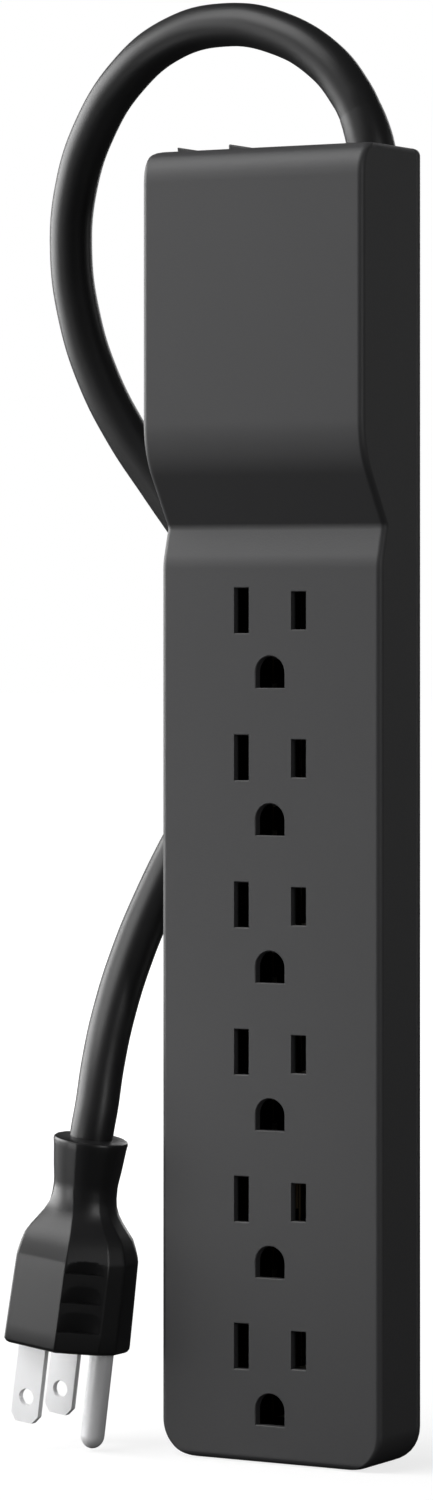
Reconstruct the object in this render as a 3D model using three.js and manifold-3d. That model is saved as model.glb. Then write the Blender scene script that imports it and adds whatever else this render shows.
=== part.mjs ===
// A six-outlet surge protector strip that stands on its bottom end, with its cord and grounded plug.
// Millimetres, +Z up along the strip, -Y out of the outlets. The origin is under the middle of the
// housing, on the surface that it stands on.
import * as THREE from "three";
import { mergeVertices } from "three/addons/utils/BufferGeometryUtils.js";
import Module from "manifold-3d";

const wasm = await Module();
wasm.setup();

// ---- driving dimensions ----
const HALF_WIDTH = 24.5;
const HEIGHT = 255;
const WALL = 1.8;
const GAP = 0.3;
const FACE_Y = -8.25; // plane of the outlets
const BLOCK_Y = -15.75; // front of the raised block
const SEAM_Y = 6.15; // where the front shell meets the back cover
const RIM_Y = 8.05; // end of the back cover's straight rim
const BACK_Y = 15.75; // flat back
const BACK_INSET = 5.5; // how far the back cover's sides slope in
const FOOT_RADIUS = 7; // bottom corners, seen from the front
const HEAD_RADIUS = 1.5; // top corners, seen from the front
const EDGE = 1.1; // rounding between front and sides

const OUTLETS = 6;
const OUTLET_PITCH = 28.6;
const FIRST_OUTLET_Z = 22.3; // line of the lowest pair of slots
const SLOT_X = 6.35;
const GROUND_DROP = 11.9; // ground hole's centre below the slot line
const SLOT_WIDTH = 3.2;
const NEUTRAL_SLOT_HEIGHT = 8.8;
const LINE_SLOT_HEIGHT = 7.3;
const GROUND_HOLE_RADIUS = 3.2;
const GROUND_HOLE_HEIGHT = 6.2;

const BUS_Y = 10.35; // front of the hot and neutral strips
const BUS_THICKNESS = 0.8;
const RETAINER_Y = 11.45; // front of the insulating plate behind them
const GROUND_BUS_Y = 13; // front of the ground strip
const COVER_SCREW_X = 15;
const COVER_SCREW_Z = [10, 108, 188];
const KEYHOLE_Z = [48.5, 181.85]; // heads of the wall-hanging slots, 133.35 mm apart
const KEYHOLE_RISE = 9;

const ROCKER = { x: -16.6, z: 251.4, front: -8.4, back: 3.4, halfLength: 5, top: 3.6 };
const ROCKER_TILT = THREE.MathUtils.degToRad(12);
const ARM = { z: 241.4, front: -4.5, back: -0.5, halfLength: 4.4, thickness: 0.6 };
const ARM_TILT = THREE.MathUtils.degToRad(-8);
const BUTTON = { left: -9.2, right: -4.4, front: -8.4, back: -0.2, stemX: -6.8, stemY: -4.3 };
const BREAKER_FLOOR_Z = 244; // floor of the well that holds the button's spring

const BOARD_Y = 5.75; // front of the circuit board
const BOARD_THICKNESS = 1.6;
const BOARD_SCREWS = [
  [-14.5, 199],
  [14.5, 219],
];

const CORD_RADIUS = 4.3;
const EXIT = { x: 17.2, y: 2.75, z: 248, bend: 33 }; // where the cord starts to bend, and its bend radius
const RELIEF_BOTTOM_Z = 241;
const RELIEF_TURN = THREE.MathUtils.degToRad(25.1);
const JACKET_END_Z = 229;
const CLAMP_Z = 235; // middle of the bar that holds the cord inside
const CLAMP_Y = 7.35;
const CLAMP_SCREW_X = 9.6;

const PLUG = { x: -48.2, y: -10.75, z: 21.3, lean: THREE.MathUtils.degToRad(7.5) };
const NECK_X = 3.9; // cord's axis from the blades' middle line, towards the ground pin
const PLUG_LENGTH = 41;
const NECK_RECESS = 1.6;
const BLADE_LENGTH = 15.9;
const PIN_LENGTH = 19.6;
const POCKET_DEPTH = 6; // how far blades and pin go into the plug

// ---- geometry helpers ----
function solidOf(geometry) {
  const plain = geometry.index ? geometry.toNonIndexed() : geometry.clone();
  const points = new THREE.BufferGeometry();
  points.setAttribute("position", plain.getAttribute("position"));
  const merged = mergeVertices(points, 1e-3);
  return new wasm.Manifold(
    new wasm.Mesh({
      numProp: 3,
      vertProperties: merged.getAttribute("position").array,
      triVerts: new Uint32Array(merged.index.array),
    }),
  );
}

function geometryOf(solid) {
  const mesh = solid.getMesh();
  const geometry = new THREE.BufferGeometry();
  geometry.setAttribute("position", new THREE.BufferAttribute(mesh.vertProperties, 3));
  geometry.setIndex(new THREE.BufferAttribute(mesh.triVerts, 1));
  return geometry;
}

function combine(step, first, others) {
  return geometryOf(others.reduce((solid, other) => solid[step](solidOf(other)), solidOf(first)));
}

const join = (first, ...others) => combine("add", first, others);
const cut = (first, ...others) => combine("subtract", first, others);
const common = (first, ...others) => combine("intersect", first, others);

function box(x0, x1, y0, y1, z0, z1) {
  const shape = new THREE.BoxGeometry(x1 - x0, y1 - y0, z1 - z0);
  return shape.translate((x0 + x1) / 2, (y0 + y1) / 2, (z0 + z1) / 2);
}

// Local x, y and z of a drawn shape turned onto the part's axes: "Y" shows the shape from the front.
const TURNS = {
  X: new THREE.Matrix4().makeBasis(
    new THREE.Vector3(0, 1, 0),
    new THREE.Vector3(0, 0, 1),
    new THREE.Vector3(1, 0, 0),
  ),
  Y: new THREE.Matrix4().makeBasis(
    new THREE.Vector3(1, 0, 0),
    new THREE.Vector3(0, 0, 1),
    new THREE.Vector3(0, -1, 0),
  ),
  Z: new THREE.Matrix4(),
};

// A shape pulled along one axis from one place to another.
function prism(shape, axis, from, to, curveSegments = 6) {
  const geometry = new THREE.ExtrudeGeometry(shape, {
    depth: to - from,
    bevelEnabled: false,
    curveSegments,
  });
  geometry.applyMatrix4(TURNS[axis]);
  if (axis === "X") return geometry.translate(from, 0, 0);
  if (axis === "Y") return geometry.translate(0, to, 0);
  return geometry.translate(0, 0, from);
}

function polygon(points) {
  return new THREE.Shape(points.map(([u, v]) => new THREE.Vector2(u, v)));
}

// A closed outline of corners [u, v, radius], given anticlockwise, each rounded by its own radius.
function roundedOutline(corners) {
  const shape = new THREE.Shape();
  corners.forEach(([u, v, radius], i) => {
    const corner = new THREE.Vector2(u, v);
    const before = corners.at(i - 1);
    const after = corners[(i + 1) % corners.length];
    const back = new THREE.Vector2(before[0] - u, before[1] - v).normalize();
    const ahead = new THREE.Vector2(after[0] - u, after[1] - v).normalize();
    const half = Math.acos(THREE.MathUtils.clamp(back.dot(ahead), -1, 1)) / 2;
    const reach = radius / Math.tan(half);
    const start = corner.clone().addScaledVector(back, reach);
    const end = corner.clone().addScaledVector(ahead, reach);
    if (i === 0) shape.moveTo(start.x, start.y);
    else shape.lineTo(start.x, start.y);
    if (radius > 0) shape.quadraticCurveTo(u, v, end.x, end.y);
  });
  shape.closePath();
  return shape;
}

// The same corners moved in by a wall's thickness.
function insetCorners(corners, wall) {
  return corners.map(([u, v, radius], i) => {
    const before = corners.at(i - 1);
    const after = corners[(i + 1) % corners.length];
    const along1 = new THREE.Vector2(u - before[0], v - before[1]).normalize();
    const along2 = new THREE.Vector2(after[0] - u, after[1] - v).normalize();
    const turn = along1.cross(along2);
    const mid = new THREE.Vector2(-along1.y - along2.y, along1.x + along2.x);
    mid.multiplyScalar(wall / (1 + along1.dot(along2)));
    const smaller = turn > 0 ? Math.max(radius - wall, 0) : radius + wall;
    return [u + mid.x, v + mid.y, smaller];
  });
}

function rod(axis, radius, from, to, [a, b], sides = 12) {
  const geometry = new THREE.CylinderGeometry(radius, radius, to - from, sides);
  const middle = (from + to) / 2;
  if (axis === "X") return geometry.rotateZ(-Math.PI / 2).translate(middle, a, b);
  if (axis === "Y") return geometry.translate(a, middle, b);
  return geometry.rotateX(Math.PI / 2).translate(a, b, middle);
}

function turned(profile, sides) {
  const points = profile.map(([radius, along]) => new THREE.Vector2(radius, along));
  return new THREE.LatheGeometry(points, sides);
}

function tube(points, radius, sides, steps) {
  const path = new THREE.CatmullRomCurve3(points.map((p) => new THREE.Vector3(...p)));
  const ring = [];
  for (let i = 0; i < sides; i++) {
    const angle = (2 * Math.PI * i) / sides;
    ring.push([radius * Math.cos(angle), radius * Math.sin(angle)]);
  }
  return new THREE.ExtrudeGeometry(polygon(ring), { steps, extrudePath: path });
}

// ---- materials ----
const FINISHES = {
  shell: { color: 0x4a4a4c, roughness: 0.62, metalness: 0 },
  cover: { color: 0x39393b, roughness: 0.65, metalness: 0 },
  control: { color: 0x1b1b1d, roughness: 0.5, metalness: 0 },
  jacket: { color: 0x1d1d1f, roughness: 0.38, metalness: 0 },
  insulator: { color: 0xd8d2c4, roughness: 0.6, metalness: 0 },
  brass: { color: 0xc09a4e, roughness: 0.35, metalness: 1 },
  nickel: { color: 0xd6d6d8, roughness: 0.22, metalness: 1 },
  steel: { color: 0x9a9a9c, roughness: 0.35, metalness: 1 },
  board: { color: 0x2f5f38, roughness: 0.55, metalness: 0 },
  varistor: { color: 0x2a56a8, roughness: 0.5, metalness: 0 },
  capacitor: { color: 0xc9a431, roughness: 0.5, metalness: 0 },
  black_wire: { color: 0x161616, roughness: 0.45, metalness: 0 },
  white_wire: { color: 0xdedcd6, roughness: 0.45, metalness: 0 },
  green_wire: { color: 0x2d7a3e, roughness: 0.45, metalness: 0 },
};

const part = new THREE.Group();

function node(name, finish, geometry, parent = part) {
  const mesh = new THREE.Mesh(geometry, new THREE.MeshStandardMaterial(FINISHES[finish]));
  mesh.name = name;
  parent.add(mesh);
  return mesh;
}

// ---- housing ----
const outletLines = Array.from({ length: OUTLETS }, (_, i) => FIRST_OUTLET_Z + i * OUTLET_PITCH);
const webLines = outletLines.map((z) => z + 9);
const retainerScrewLines = [webLines[0], webLines[2], webLines[4]];
const coverScrews = COVER_SCREW_Z.flatMap((z) => [
  [-COVER_SCREW_X, z],
  [COVER_SCREW_X, z],
]);

// Seen from +X, anticlockwise, open past the seam: block, slanted underside, shallow trough, face.
const SIDE_CORNERS = [
  [SEAM_Y + 10, 0, 0],
  [SEAM_Y + 10, HEIGHT, 0],
  [BLOCK_Y, HEIGHT, 6.5],
  [BLOCK_Y, 194.7, 5],
  [FACE_Y + 2, 181.6, 2.2],
  [FACE_Y, 174.8, 8],
  [FACE_Y, 0, EDGE],
];

const FRONT_CORNERS = [
  [-HALF_WIDTH, 0, FOOT_RADIUS],
  [HALF_WIDTH, 0, FOOT_RADIUS],
  [HALF_WIDTH, HEIGHT, HEAD_RADIUS],
  [-HALF_WIDTH, HEIGHT, HEAD_RADIUS],
];

function frontOutline(inset) {
  return roundedOutline(insetCorners(FRONT_CORNERS, inset));
}

// Front corners rounded along the height, where the front lies in one plane.
function roundedColumn(frontY, z0, z1) {
  const outline = roundedOutline([
    [-HALF_WIDTH, frontY, EDGE],
    [HALF_WIDTH, frontY, EDGE],
    [HALF_WIDTH, SEAM_Y, 0],
    [-HALF_WIDTH, SEAM_Y, 0],
  ]);
  return prism(outline, "Z", z0, z1, 3);
}

function shellOutside() {
  const side = prism(roundedOutline(SIDE_CORNERS), "X", -HALF_WIDTH, HALF_WIDTH, 4);
  const front = prism(frontOutline(0), "Y", BLOCK_Y - 2, SEAM_Y - GAP / 2, 4);
  const column = join(roundedColumn(FACE_Y, -1, 184), roundedColumn(BLOCK_Y, 183.9, HEIGHT + 1));
  return common(side, front, column);
}

function shellHollow() {
  const side = roundedOutline(insetCorners(SIDE_CORNERS, WALL));
  const hollow = prism(side, "X", WALL - HALF_WIDTH, HALF_WIDTH - WALL, 3);
  return common(hollow, prism(frontOutline(WALL), "Y", BLOCK_Y, SEAM_Y + 5, 3));
}

function slot(x, z, height) {
  const half = SLOT_WIDTH / 2;
  return box(x - half, x + half, FACE_Y - 2, FACE_Y + WALL + 1, z - height / 2, z + height / 2);
}

// Flat at the bottom and arched at the top.
function groundHole(z) {
  const bottom = z - GROUND_HOLE_HEIGHT / 2;
  const arch = bottom + GROUND_HOLE_HEIGHT - GROUND_HOLE_RADIUS;
  const shape = new THREE.Shape();
  shape.moveTo(-GROUND_HOLE_RADIUS, bottom);
  shape.lineTo(GROUND_HOLE_RADIUS, bottom);
  shape.absarc(0, arch, GROUND_HOLE_RADIUS, 0, Math.PI);
  shape.closePath();
  return prism(shape, "Y", FACE_Y - 2, FACE_Y + WALL + 1, 5);
}

function outletHoles(z) {
  return [
    slot(-SLOT_X, z, NEUTRAL_SLOT_HEIGHT),
    slot(SLOT_X, z, LINE_SLOT_HEIGHT),
    groundHole(z - GROUND_DROP),
  ];
}

// Hole in the top end that both housing halves share, where the strain relief sits.
function cordHole() {
  return rod("Z", 5.2, HEIGHT - 2.5, HEIGHT + 1, [EXIT.x - 0.6, EXIT.y], 20);
}

function frontShell() {
  const rootY = FACE_Y + WALL - 1;
  const bosses = coverScrews.map(([x, z]) => rod("Y", 2.4, rootY, 11, [x, z], 10));
  const webs = webLines.map((z) => box(-11.5, 11.5, rootY, BUS_Y - GAP, z - 0.7, z + 0.7));
  const webBosses = retainerScrewLines.map((z) => rod("Y", 2.4, rootY, RETAINER_Y - GAP, [0, z], 10));
  const pilots = [
    ...coverScrews.map(([x, z]) => rod("Y", 1.5, 1, 12, [x, z], 8)),
    ...retainerScrewLines.map((z) => rod("Y", 1.2, 3, 12, [0, z], 8)),
  ];
  const low = HEIGHT - WALL - 1;
  const high = HEIGHT + 1;
  const endHoles = [
    box(-22.5, -10.7, ROCKER.front - 0.4, ROCKER.back + 0.4, low, high),
    box(BUTTON.left - GAP, BUTTON.right + GAP, BUTTON.front - GAP, BUTTON.back + GAP, low, high),
    cordHole(),
  ];
  const clampBoss = rod("Y", 2.4, BLOCK_Y + WALL - 1, CLAMP_Y - GAP, [CLAMP_SCREW_X, CLAMP_Z], 10);
  const clampPilot = rod("Y", 1.2, 1, 12, [CLAMP_SCREW_X, CLAMP_Z], 8);
  const saddleTop = EXIT.y - CORD_RADIUS - GAP;
  const saddle = box(13.2, 21.2, BLOCK_Y + WALL - 1, saddleTop, CLAMP_Z - 1, CLAMP_Z + 1);
  const supports = [...bosses, ...webs, ...webBosses, clampBoss, saddle];
  const walls = join(cut(shellOutside(), shellHollow()), ...supports);
  return cut(walls, ...pilots, clampPilot, ...endHoles, ...outletLines.flatMap(outletHoles));
}

// The back cover's outside, or its hollow when moved in by a wall: a straight rim, then sloped sides.
function coverBlock(inset) {
  const front = inset > 0 ? SEAM_Y - 5 : SEAM_Y + GAP / 2;
  const back = BACK_Y - inset;
  const run = ((back - RIM_Y) * BACK_INSET) / (BACK_Y - RIM_Y);
  const side = HALF_WIDTH - inset;
  const top = HEIGHT - inset;
  const across = polygon([
    [-side, front],
    [side, front],
    [side, RIM_Y],
    [side - run, back],
    [run - side, back],
    [-side, RIM_Y],
  ]);
  const along = polygon([
    [front, inset],
    [RIM_Y, inset],
    [back, inset + run],
    [back, top - run],
    [RIM_Y, top],
    [front, top],
  ]);
  return common(
    prism(across, "Z", inset, top),
    prism(along, "X", -side, side),
    prism(frontOutline(inset), "Y", front, back, 4),
  );
}

function frameBand(outside, inside, from, to) {
  return cut(
    prism(frontOutline(outside), "Y", from, to, 4),
    prism(frontOutline(inside), "Y", from - 1, to + 1, 4),
  );
}

function keyhole(z) {
  return [
    rod("Y", 4, BACK_Y - WALL - 1, BACK_Y + 1, [0, z], 16),
    rod("Y", 2.2, BACK_Y - WALL - 1, BACK_Y + 1, [0, z + KEYHOLE_RISE], 12),
    box(-2.2, 2.2, BACK_Y - WALL - 1, BACK_Y + 1, z, z + KEYHOLE_RISE),
  ];
}

function backCover() {
  const tongueIn = WALL + GAP;
  const tongue = frameBand(tongueIn, tongueIn + 1, SEAM_Y - 1.5, SEAM_Y + 1.4);
  const tongueFoot = frameBand(WALL - 0.3, tongueIn + 1, SEAM_Y + GAP / 2, SEAM_Y + 1.4);
  const sleeves = coverScrews.map(([x, z]) => rod("Y", 3.9, 11.3, BACK_Y - 0.5, [x, z], 14));
  const posts = BOARD_SCREWS.map(([x, z]) =>
    rod("Y", 2.4, BOARD_Y + BOARD_THICKNESS + GAP, BACK_Y - 1, [x, z], 10),
  );
  const holes = [
    ...coverScrews.map(([x, z]) => rod("Y", 1.6, 10, BACK_Y + 1, [x, z], 8)),
    ...coverScrews.map(([x, z]) => rod("Y", 3.2, BACK_Y - 2.4, BACK_Y + 1, [x, z], 12)),
    ...BOARD_SCREWS.map(([x, z]) => rod("Y", 1.2, 4, 14, [x, z], 8)),
    ...KEYHOLE_Z.flatMap(keyhole),
    cordHole(),
    box(10.9, HALF_WIDTH - WALL, SEAM_Y - 3, SEAM_Y + 1.5, RELIEF_BOTTOM_Z - 2, HEIGHT - WALL),
  ];
  const shell = cut(coverBlock(0), coverBlock(WALL));
  return cut(join(shell, tongue, tongueFoot, ...sleeves, ...posts), ...holes);
}

// A pan-head screw along Y, its head towards +Y (side 1) or -Y (side -1), from under the head.
function screw(name, [x, z], seatY, side, { head, headHeight, shank, length }) {
  const profile = [
    [0, -length],
    [shank, -length + shank],
    [shank, 0],
    [head, 0],
    [head * 0.95, headHeight * 0.7],
    [head * 0.6, headHeight],
    [0, headHeight],
  ];
  const geometry = turned(profile, 10);
  if (side < 0) geometry.rotateX(Math.PI);
  node(name, "steel", geometry.translate(x, seatY, z));
}

const COVER_SCREW = { head: 2.8, headHeight: 1.7, shank: 1.2, length: 9 };
const SMALL_SCREW = { head: 2.2, headHeight: 0.8, shank: 0.9, length: 6 };

function buildHousing() {
  node("front_shell", "shell", frontShell());
  node("back_cover", "cover", backCover());
  coverScrews.forEach((place, i) => screw(`cover_screw_${i + 1}`, place, 13.55, 1, COVER_SCREW));
}

// ---- contacts ----
// A spring leaf seen from above: root, pinch and flared mouth, mirrored by side and pulled along Z.
function leaf(x, side, z, height, gaps, depths) {
  const thickness = 0.5;
  const inner = gaps.map((gap, i) => [x + side * gap, depths[i]]);
  const outer = gaps.map((gap, i) => [x + side * (gap + thickness), depths[i]]).reverse();
  return prism(polygon([...inner, ...outer]), "Z", z - height / 2, z + height / 2);
}

function sideBus(x) {
  const strip = box(x - 2.45, x + 2.45, BUS_Y, BUS_Y + BUS_THICKNESS, FIRST_OUTLET_Z - 6, 175.3);
  const gaps = [1.9, 0.65, 1.5];
  const depths = [BUS_Y + 0.3, FACE_Y + 9, FACE_Y + 5];
  const leaves = outletLines.flatMap((z) => [-1, 1].map((side) => leaf(x, side, z, 7, gaps, depths)));
  return join(strip, ...leaves);
}

function groundBus() {
  const back = GROUND_BUS_Y + 0.7;
  const strip = box(-10.6, -5, GROUND_BUS_Y, back, 7.4, 171);
  const gaps = [2.9, 2, 2.7];
  const depths = [GROUND_BUS_Y + 0.3, FACE_Y + 11.5, FACE_Y + 6.5];
  const grips = outletLines.flatMap((line) => {
    const z = line - GROUND_DROP;
    const tab = box(-6, 3.4, GROUND_BUS_Y, back, z - 2.3, z + 2.3);
    return [tab, ...[-1, 1].map((side) => leaf(0, side, z, 4.6, gaps, depths))];
  });
  return join(strip, ...grips);
}

function busRetainer() {
  const y0 = RETAINER_Y - 1;
  const y1 = RETAINER_Y + 2;
  const plate = box(-10.6, 10.6, RETAINER_Y, RETAINER_Y + 1.2, 5.8, 168);
  const windows = outletLines.map((line) => {
    const z = line - GROUND_DROP;
    return box(-3.8, 3.8, y0, y1, z - 2.9, z + 2.9);
  });
  const holes = retainerScrewLines.map((z) => rod("Y", 1.3, y0, y1, [0, z], 8));
  const keyholeRoom = box(-5.5, 5.5, y0, y1, KEYHOLE_Z[0] - 5, KEYHOLE_Z[0] + KEYHOLE_RISE + 4);
  return cut(plate, ...windows, ...holes, keyholeRoom);
}

function buildContacts() {
  node("neutral_bus", "brass", sideBus(-SLOT_X));
  node("hot_bus", "brass", sideBus(SLOT_X));
  node("ground_bus", "brass", groundBus());
  node("bus_retainer", "insulator", busRetainer());
  retainerScrewLines.forEach((z, i) =>
    screw(`retainer_screw_${i + 1}`, [0, z], RETAINER_Y + 1.3, 1, SMALL_SCREW),
  );
}

// ---- power switch ----
function switchHousing() {
  const outside = box(-22.4, -10.7, ROCKER.front - 1, ROCKER.back + 0.95, 236, 252.3);
  const hollow = box(-21.8, -11.4, ROCKER.front - 0.3, ROCKER.back + 0.3, 237, 260);
  const { x, z, front, back } = ROCKER;
  const pivotHole = rod("Y", 1, front - 2, back + 2, [x, z], 12);
  const pivotSlot = box(x - 0.95, x + 0.95, front - 2, back + 2, z, z + 2);
  return cut(outside, hollow, pivotHole, pivotSlot, switchCommon(GAP), switchLoad(GAP));
}

function switchCommon(extra) {
  return box(-17 - extra, -16.2 + extra, ARM.front - extra, ARM.back + extra, 229, 240.7);
}

function switchLoad(extra) {
  return box(-21.1 - extra, -19.7 + extra, ARM.front - extra, ARM.back + extra, 229, 239.6);
}

// Drawn level about its pivot: flared top, narrow middle, plunger that works the contact arm.
function rockerBody() {
  const { halfLength: half, top, front, back } = ROCKER;
  const outline = polygon([
    [-half, top],
    [-4.2, 1],
    [-2.6, -2.2],
    [-0.8, -3],
    [-0.8, -9.4],
    [0.8, -9.4],
    [0.8, -3],
    [2.6, -2.2],
    [4.2, 1],
    [half, top],
    [half * 0.4, top - 0.15],
    [-half * 0.4, top - 0.15],
  ]);
  const pin = rod("Y", 0.7, front - 0.75, back + 0.75, [0, 0], 12);
  const trims = [
    box(-6, 6, front - 1, ARM.front + 0.8, -12, -3),
    box(-6, 6, ARM.back - 0.8, back + 1, -12, -3),
  ];
  return join(cut(prism(outline, "Y", front, back), ...trims), pin);
}

function contactArm() {
  const { halfLength: half, thickness, front, back } = ARM;
  const strip = box(-half, half, front, back, -thickness / 2, thickness / 2);
  const rivet = rod("Z", 0.9, -0.8, 0, [-half + 1, (front + back) / 2], 10);
  return join(strip, rivet);
}

function buildSwitch() {
  node("switch_housing", "control", switchHousing());
  node("switch_common_terminal", "brass", switchCommon(0));
  node("switch_load_terminal", "brass", switchLoad(0));
  const rocker = new THREE.Group();
  rocker.position.set(ROCKER.x, 0, ROCKER.z);
  rocker.rotation.y = ROCKER_TILT;
  node("power_rocker", "control", rockerBody(), rocker);
  const arm = new THREE.Group();
  arm.position.set(ROCKER.x, 0, ARM.z);
  arm.rotation.y = ARM_TILT;
  node("rocker_contact_arm", "brass", contactArm(), arm);
  part.add(rocker, arm);
}

// ---- circuit breaker ----
function breakerBody() {
  const { left, right, front, back, stemX, stemY } = BUTTON;
  const block = box(-10.3, -3.3, front - 0.8, back + 0.8, 228, HEIGHT - WALL - GAP);
  const well = box(left - GAP, right + GAP, front - GAP, back + GAP, BREAKER_FLOOR_Z, HEIGHT);
  return cut(block, well, rod("Z", 1.6, 237, HEIGHT, [stemX, stemY], 10));
}

function resetButton() {
  const { left, right, front, back, stemX, stemY } = BUTTON;
  const outline = polygon([
    [left, 248.2],
    [right, 248.2],
    [right, HEIGHT + 0.15],
    [left, HEIGHT + 1.1],
  ]);
  const stem = rod("Z", 1.1, 240.5, 249, [stemX, stemY], 10);
  return join(prism(outline, "Y", front, back), stem);
}

function resetSpring() {
  const turns = 3.5;
  const perTurn = 9;
  const low = BREAKER_FLOOR_Z + 0.7;
  const points = [];
  for (let i = 0; i <= turns * perTurn; i++) {
    const angle = (2 * Math.PI * i) / perTurn;
    const z = low + (3.1 * i) / (turns * perTurn);
    points.push([BUTTON.stemX + 1.95 * Math.cos(angle), BUTTON.stemY + 1.95 * Math.sin(angle), z]);
  }
  return tube(points, 0.3, 5, 42);
}

function buildBreaker() {
  node("breaker_body", "insulator", breakerBody());
  node("reset_button", "control", resetButton());
  node("reset_spring", "steel", resetSpring());
  node("breaker_terminal_line", "brass", box(-5.2, -4.4, -6, -2, 221.5, 227.7));
  node("breaker_terminal_load", "brass", box(-9.2, -8.4, -6, -2, 221.5, 227.7));
}

// ---- surge protection board ----
function varistor(x) {
  const half = 2.2;
  const profile = [
    [0, -half],
    [6, -half],
    [7, -half + 1],
    [7, half - 1],
    [6, half],
    [0, half],
  ];
  const disc = turned(profile, 18).rotateZ(-Math.PI / 2).translate(x, -3.6, 209);
  const leads = [-2.5, 2.5].map((dz) => rod("Y", 0.4, 2, BOARD_Y - GAP, [x, 209 + dz], 6));
  return join(disc, ...leads);
}

function thermalFuse() {
  const body = rod("X", 1.8, 9.8, 17.8, [0.5, 211], 10);
  const leads = [11, 16.6].map((x) => rod("Y", 0.4, 1, BOARD_Y - GAP, [x, 211], 6));
  return join(body, ...leads);
}

function buildBoard() {
  const board = box(-19, 19, BOARD_Y, BOARD_Y + BOARD_THICKNESS, 194, 224);
  const holes = BOARD_SCREWS.map(([x, z]) => rod("Y", 1.4, BOARD_Y - 1, BOARD_Y + 3, [x, z], 8));
  node("circuit_board", "board", cut(board, ...holes));
  BOARD_SCREWS.forEach((place, i) =>
    screw(`board_screw_${i + 1}`, place, BOARD_Y - 0.1, -1, SMALL_SCREW),
  );
  [-8, -1.5, 5].forEach((x, i) => node(`varistor_${i + 1}`, "varistor", varistor(x)));
  node("thermal_fuse", "steel", thermalFuse());
  node("filter_capacitor", "capacitor", box(9.5, 18, -5.5, BOARD_Y - GAP, 195.5, 206));
}

// ---- wires inside ----
const WIRES = {
  line_lead: ["black_wire", [[16, 1.2, 228.1], [15, -1.5, 225], [8, -4, 222.3], [1, -4, 223], [-4.1, -4, 224]]],
  breaker_lead: [
    "black_wire",
    [[-9.5, -4, 224], [-11.6, -3.9, 225], [-12, -3.4, 229], [-12.8, -2.6, 233.2], [-15.6, -2.5, 233.5]],
  ],
  switch_lead: [
    "black_wire",
    [[-20.4, -2.5, 228.7], [-20.8, -2.5, 216], [-20.8, -1, 200], [-20.3, 0, 188], [-17, 0.5, 181],
      [-6, 0.5, 179.8], [2, 3.5, 179.5], [6.4, 8.5, 179.2], [7.6, 10.75, 177.6], [7.6, 10.75, 175.65]],
  ],
  neutral_lead: [
    "white_wire",
    [[18.6, 1.4, 228.3], [20.6, 0.5, 220], [20.8, 0, 205], [20.4, 1, 191], [17, 3, 184], [6, 6, 183.5],
      [-3, 9.3, 182], [-5.1, 10.7, 178.5], [-5.1, 10.75, 175.65]],
  ],
  ground_lead: [
    "green_wire",
    [[17.4, 4.6, 228], [18.4, 8.4, 225.6], [19.3, 9.7, 217], [19.3, 9.8, 196], [18.9, 9.8, 187],
      [17, 10.8, 181], [13, 12.3, 177.6], [6, 12.8, 176.6], [-3, 12.8, 176.4], [-6.1, 12.9, 174.4],
      [-6.4, 13, 171.35]],
  ],
  board_lead_hot: [
    "black_wire",
    [[5.1, 8.1, 197], [5.1, 9.6, 195.4], [5.1, 10.5, 190], [5.1, 10.75, 182], [5.1, 10.75, 175.65]],
  ],
  board_lead_neutral: [
    "white_wire",
    [[-7.6, 8.1, 197], [-7.6, 9.6, 195.4], [-7.6, 10.5, 190], [-7.6, 10.75, 182], [-7.6, 10.75, 175.65]],
  ],
  board_lead_ground: [
    "green_wire",
    [[-9.9, 8.1, 197], [-9.9, 9.6, 195.4], [-9.9, 11.4, 189], [-9.6, 12.8, 181], [-9.4, 13, 175],
      [-9.4, 13, 171.35]],
  ],
};

function buildWires() {
  Object.entries(WIRES).forEach(([name, [finish, points]]) => {
    node(name, finish, tube(points, 0.9, 6, points.length * 2));
  });
}

// ---- cord and plug ----
// Middle line of the cord from the strain relief to the plug's neck.
const CORD_ROUTE = [
  [13.95, 2.75, 262.3],
  [12.0, 2.8, 265.7],
  [6.3, 3.0, 272.3],
  [-5.1, 3.7, 278.7],
  [-17.8, 4.8, 281.0],
  [-30.6, 6.1, 278.9],
  [-41.7, 7.6, 272.2],
  [-50.1, 9.1, 262.4],
  [-55.5, 10.6, 250.7],
  [-57.6, 12.1, 237.9],
  [-56.6, 13.6, 225.0],
  [-53.1, 15.2, 212.6],
  [-47.3, 16.8, 201.1],
  [-39.9, 18.4, 190.2],
  [-32.6, 19.8, 179.7],
  [-26.1, 20.8, 168.2],
  [-22.6, 21.3, 155.7],
  [-22.8, 20.6, 142.8],
  [-26.9, 18.2, 130.8],
  [-32.2, 14.5, 119.7],
  [-35.9, 9.3, 108.1],
  [-38.0, 3.2, 96.5],
  [-38.6, -2.9, 85.1],
  [-38.4, -7.3, 75.5],
  [-38.3, -9.8, 67.5],
  [-38.7, -10.6, 63.4],
  [-39.15, -10.75, 60.15],
];

// The strain relief's profile is turned about Y, then its axis is laid along the cord: up, then bent.
function strainRelief() {
  const straight = EXIT.z - RELIEF_BOTTOM_Z;
  const length = straight + EXIT.bend * RELIEF_TURN;
  const profile = [
    [0, 0],
    [4.9, 0],
    [4.9, 8.6],
    [5.4, 8.6],
    [5.4, 11],
    [4.6, 11],
    [4.6, 15.6],
    [5, 15.6],
    [4.8, 18.4],
    [4.55, length],
    [0, length],
  ];
  const geometry = turned(profile, 16);
  const points = geometry.getAttribute("position");
  for (let i = 0; i < points.count; i++) {
    const along = points.getY(i) - straight;
    const angle = Math.max(along, 0) / EXIT.bend;
    const reach = EXIT.bend + points.getX(i);
    const x = EXIT.x - EXIT.bend + reach * Math.cos(angle);
    const z = EXIT.z + Math.min(along, 0) + reach * Math.sin(angle);
    points.setXYZ(i, x, EXIT.y - points.getZ(i), z);
  }
  return geometry;
}

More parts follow.
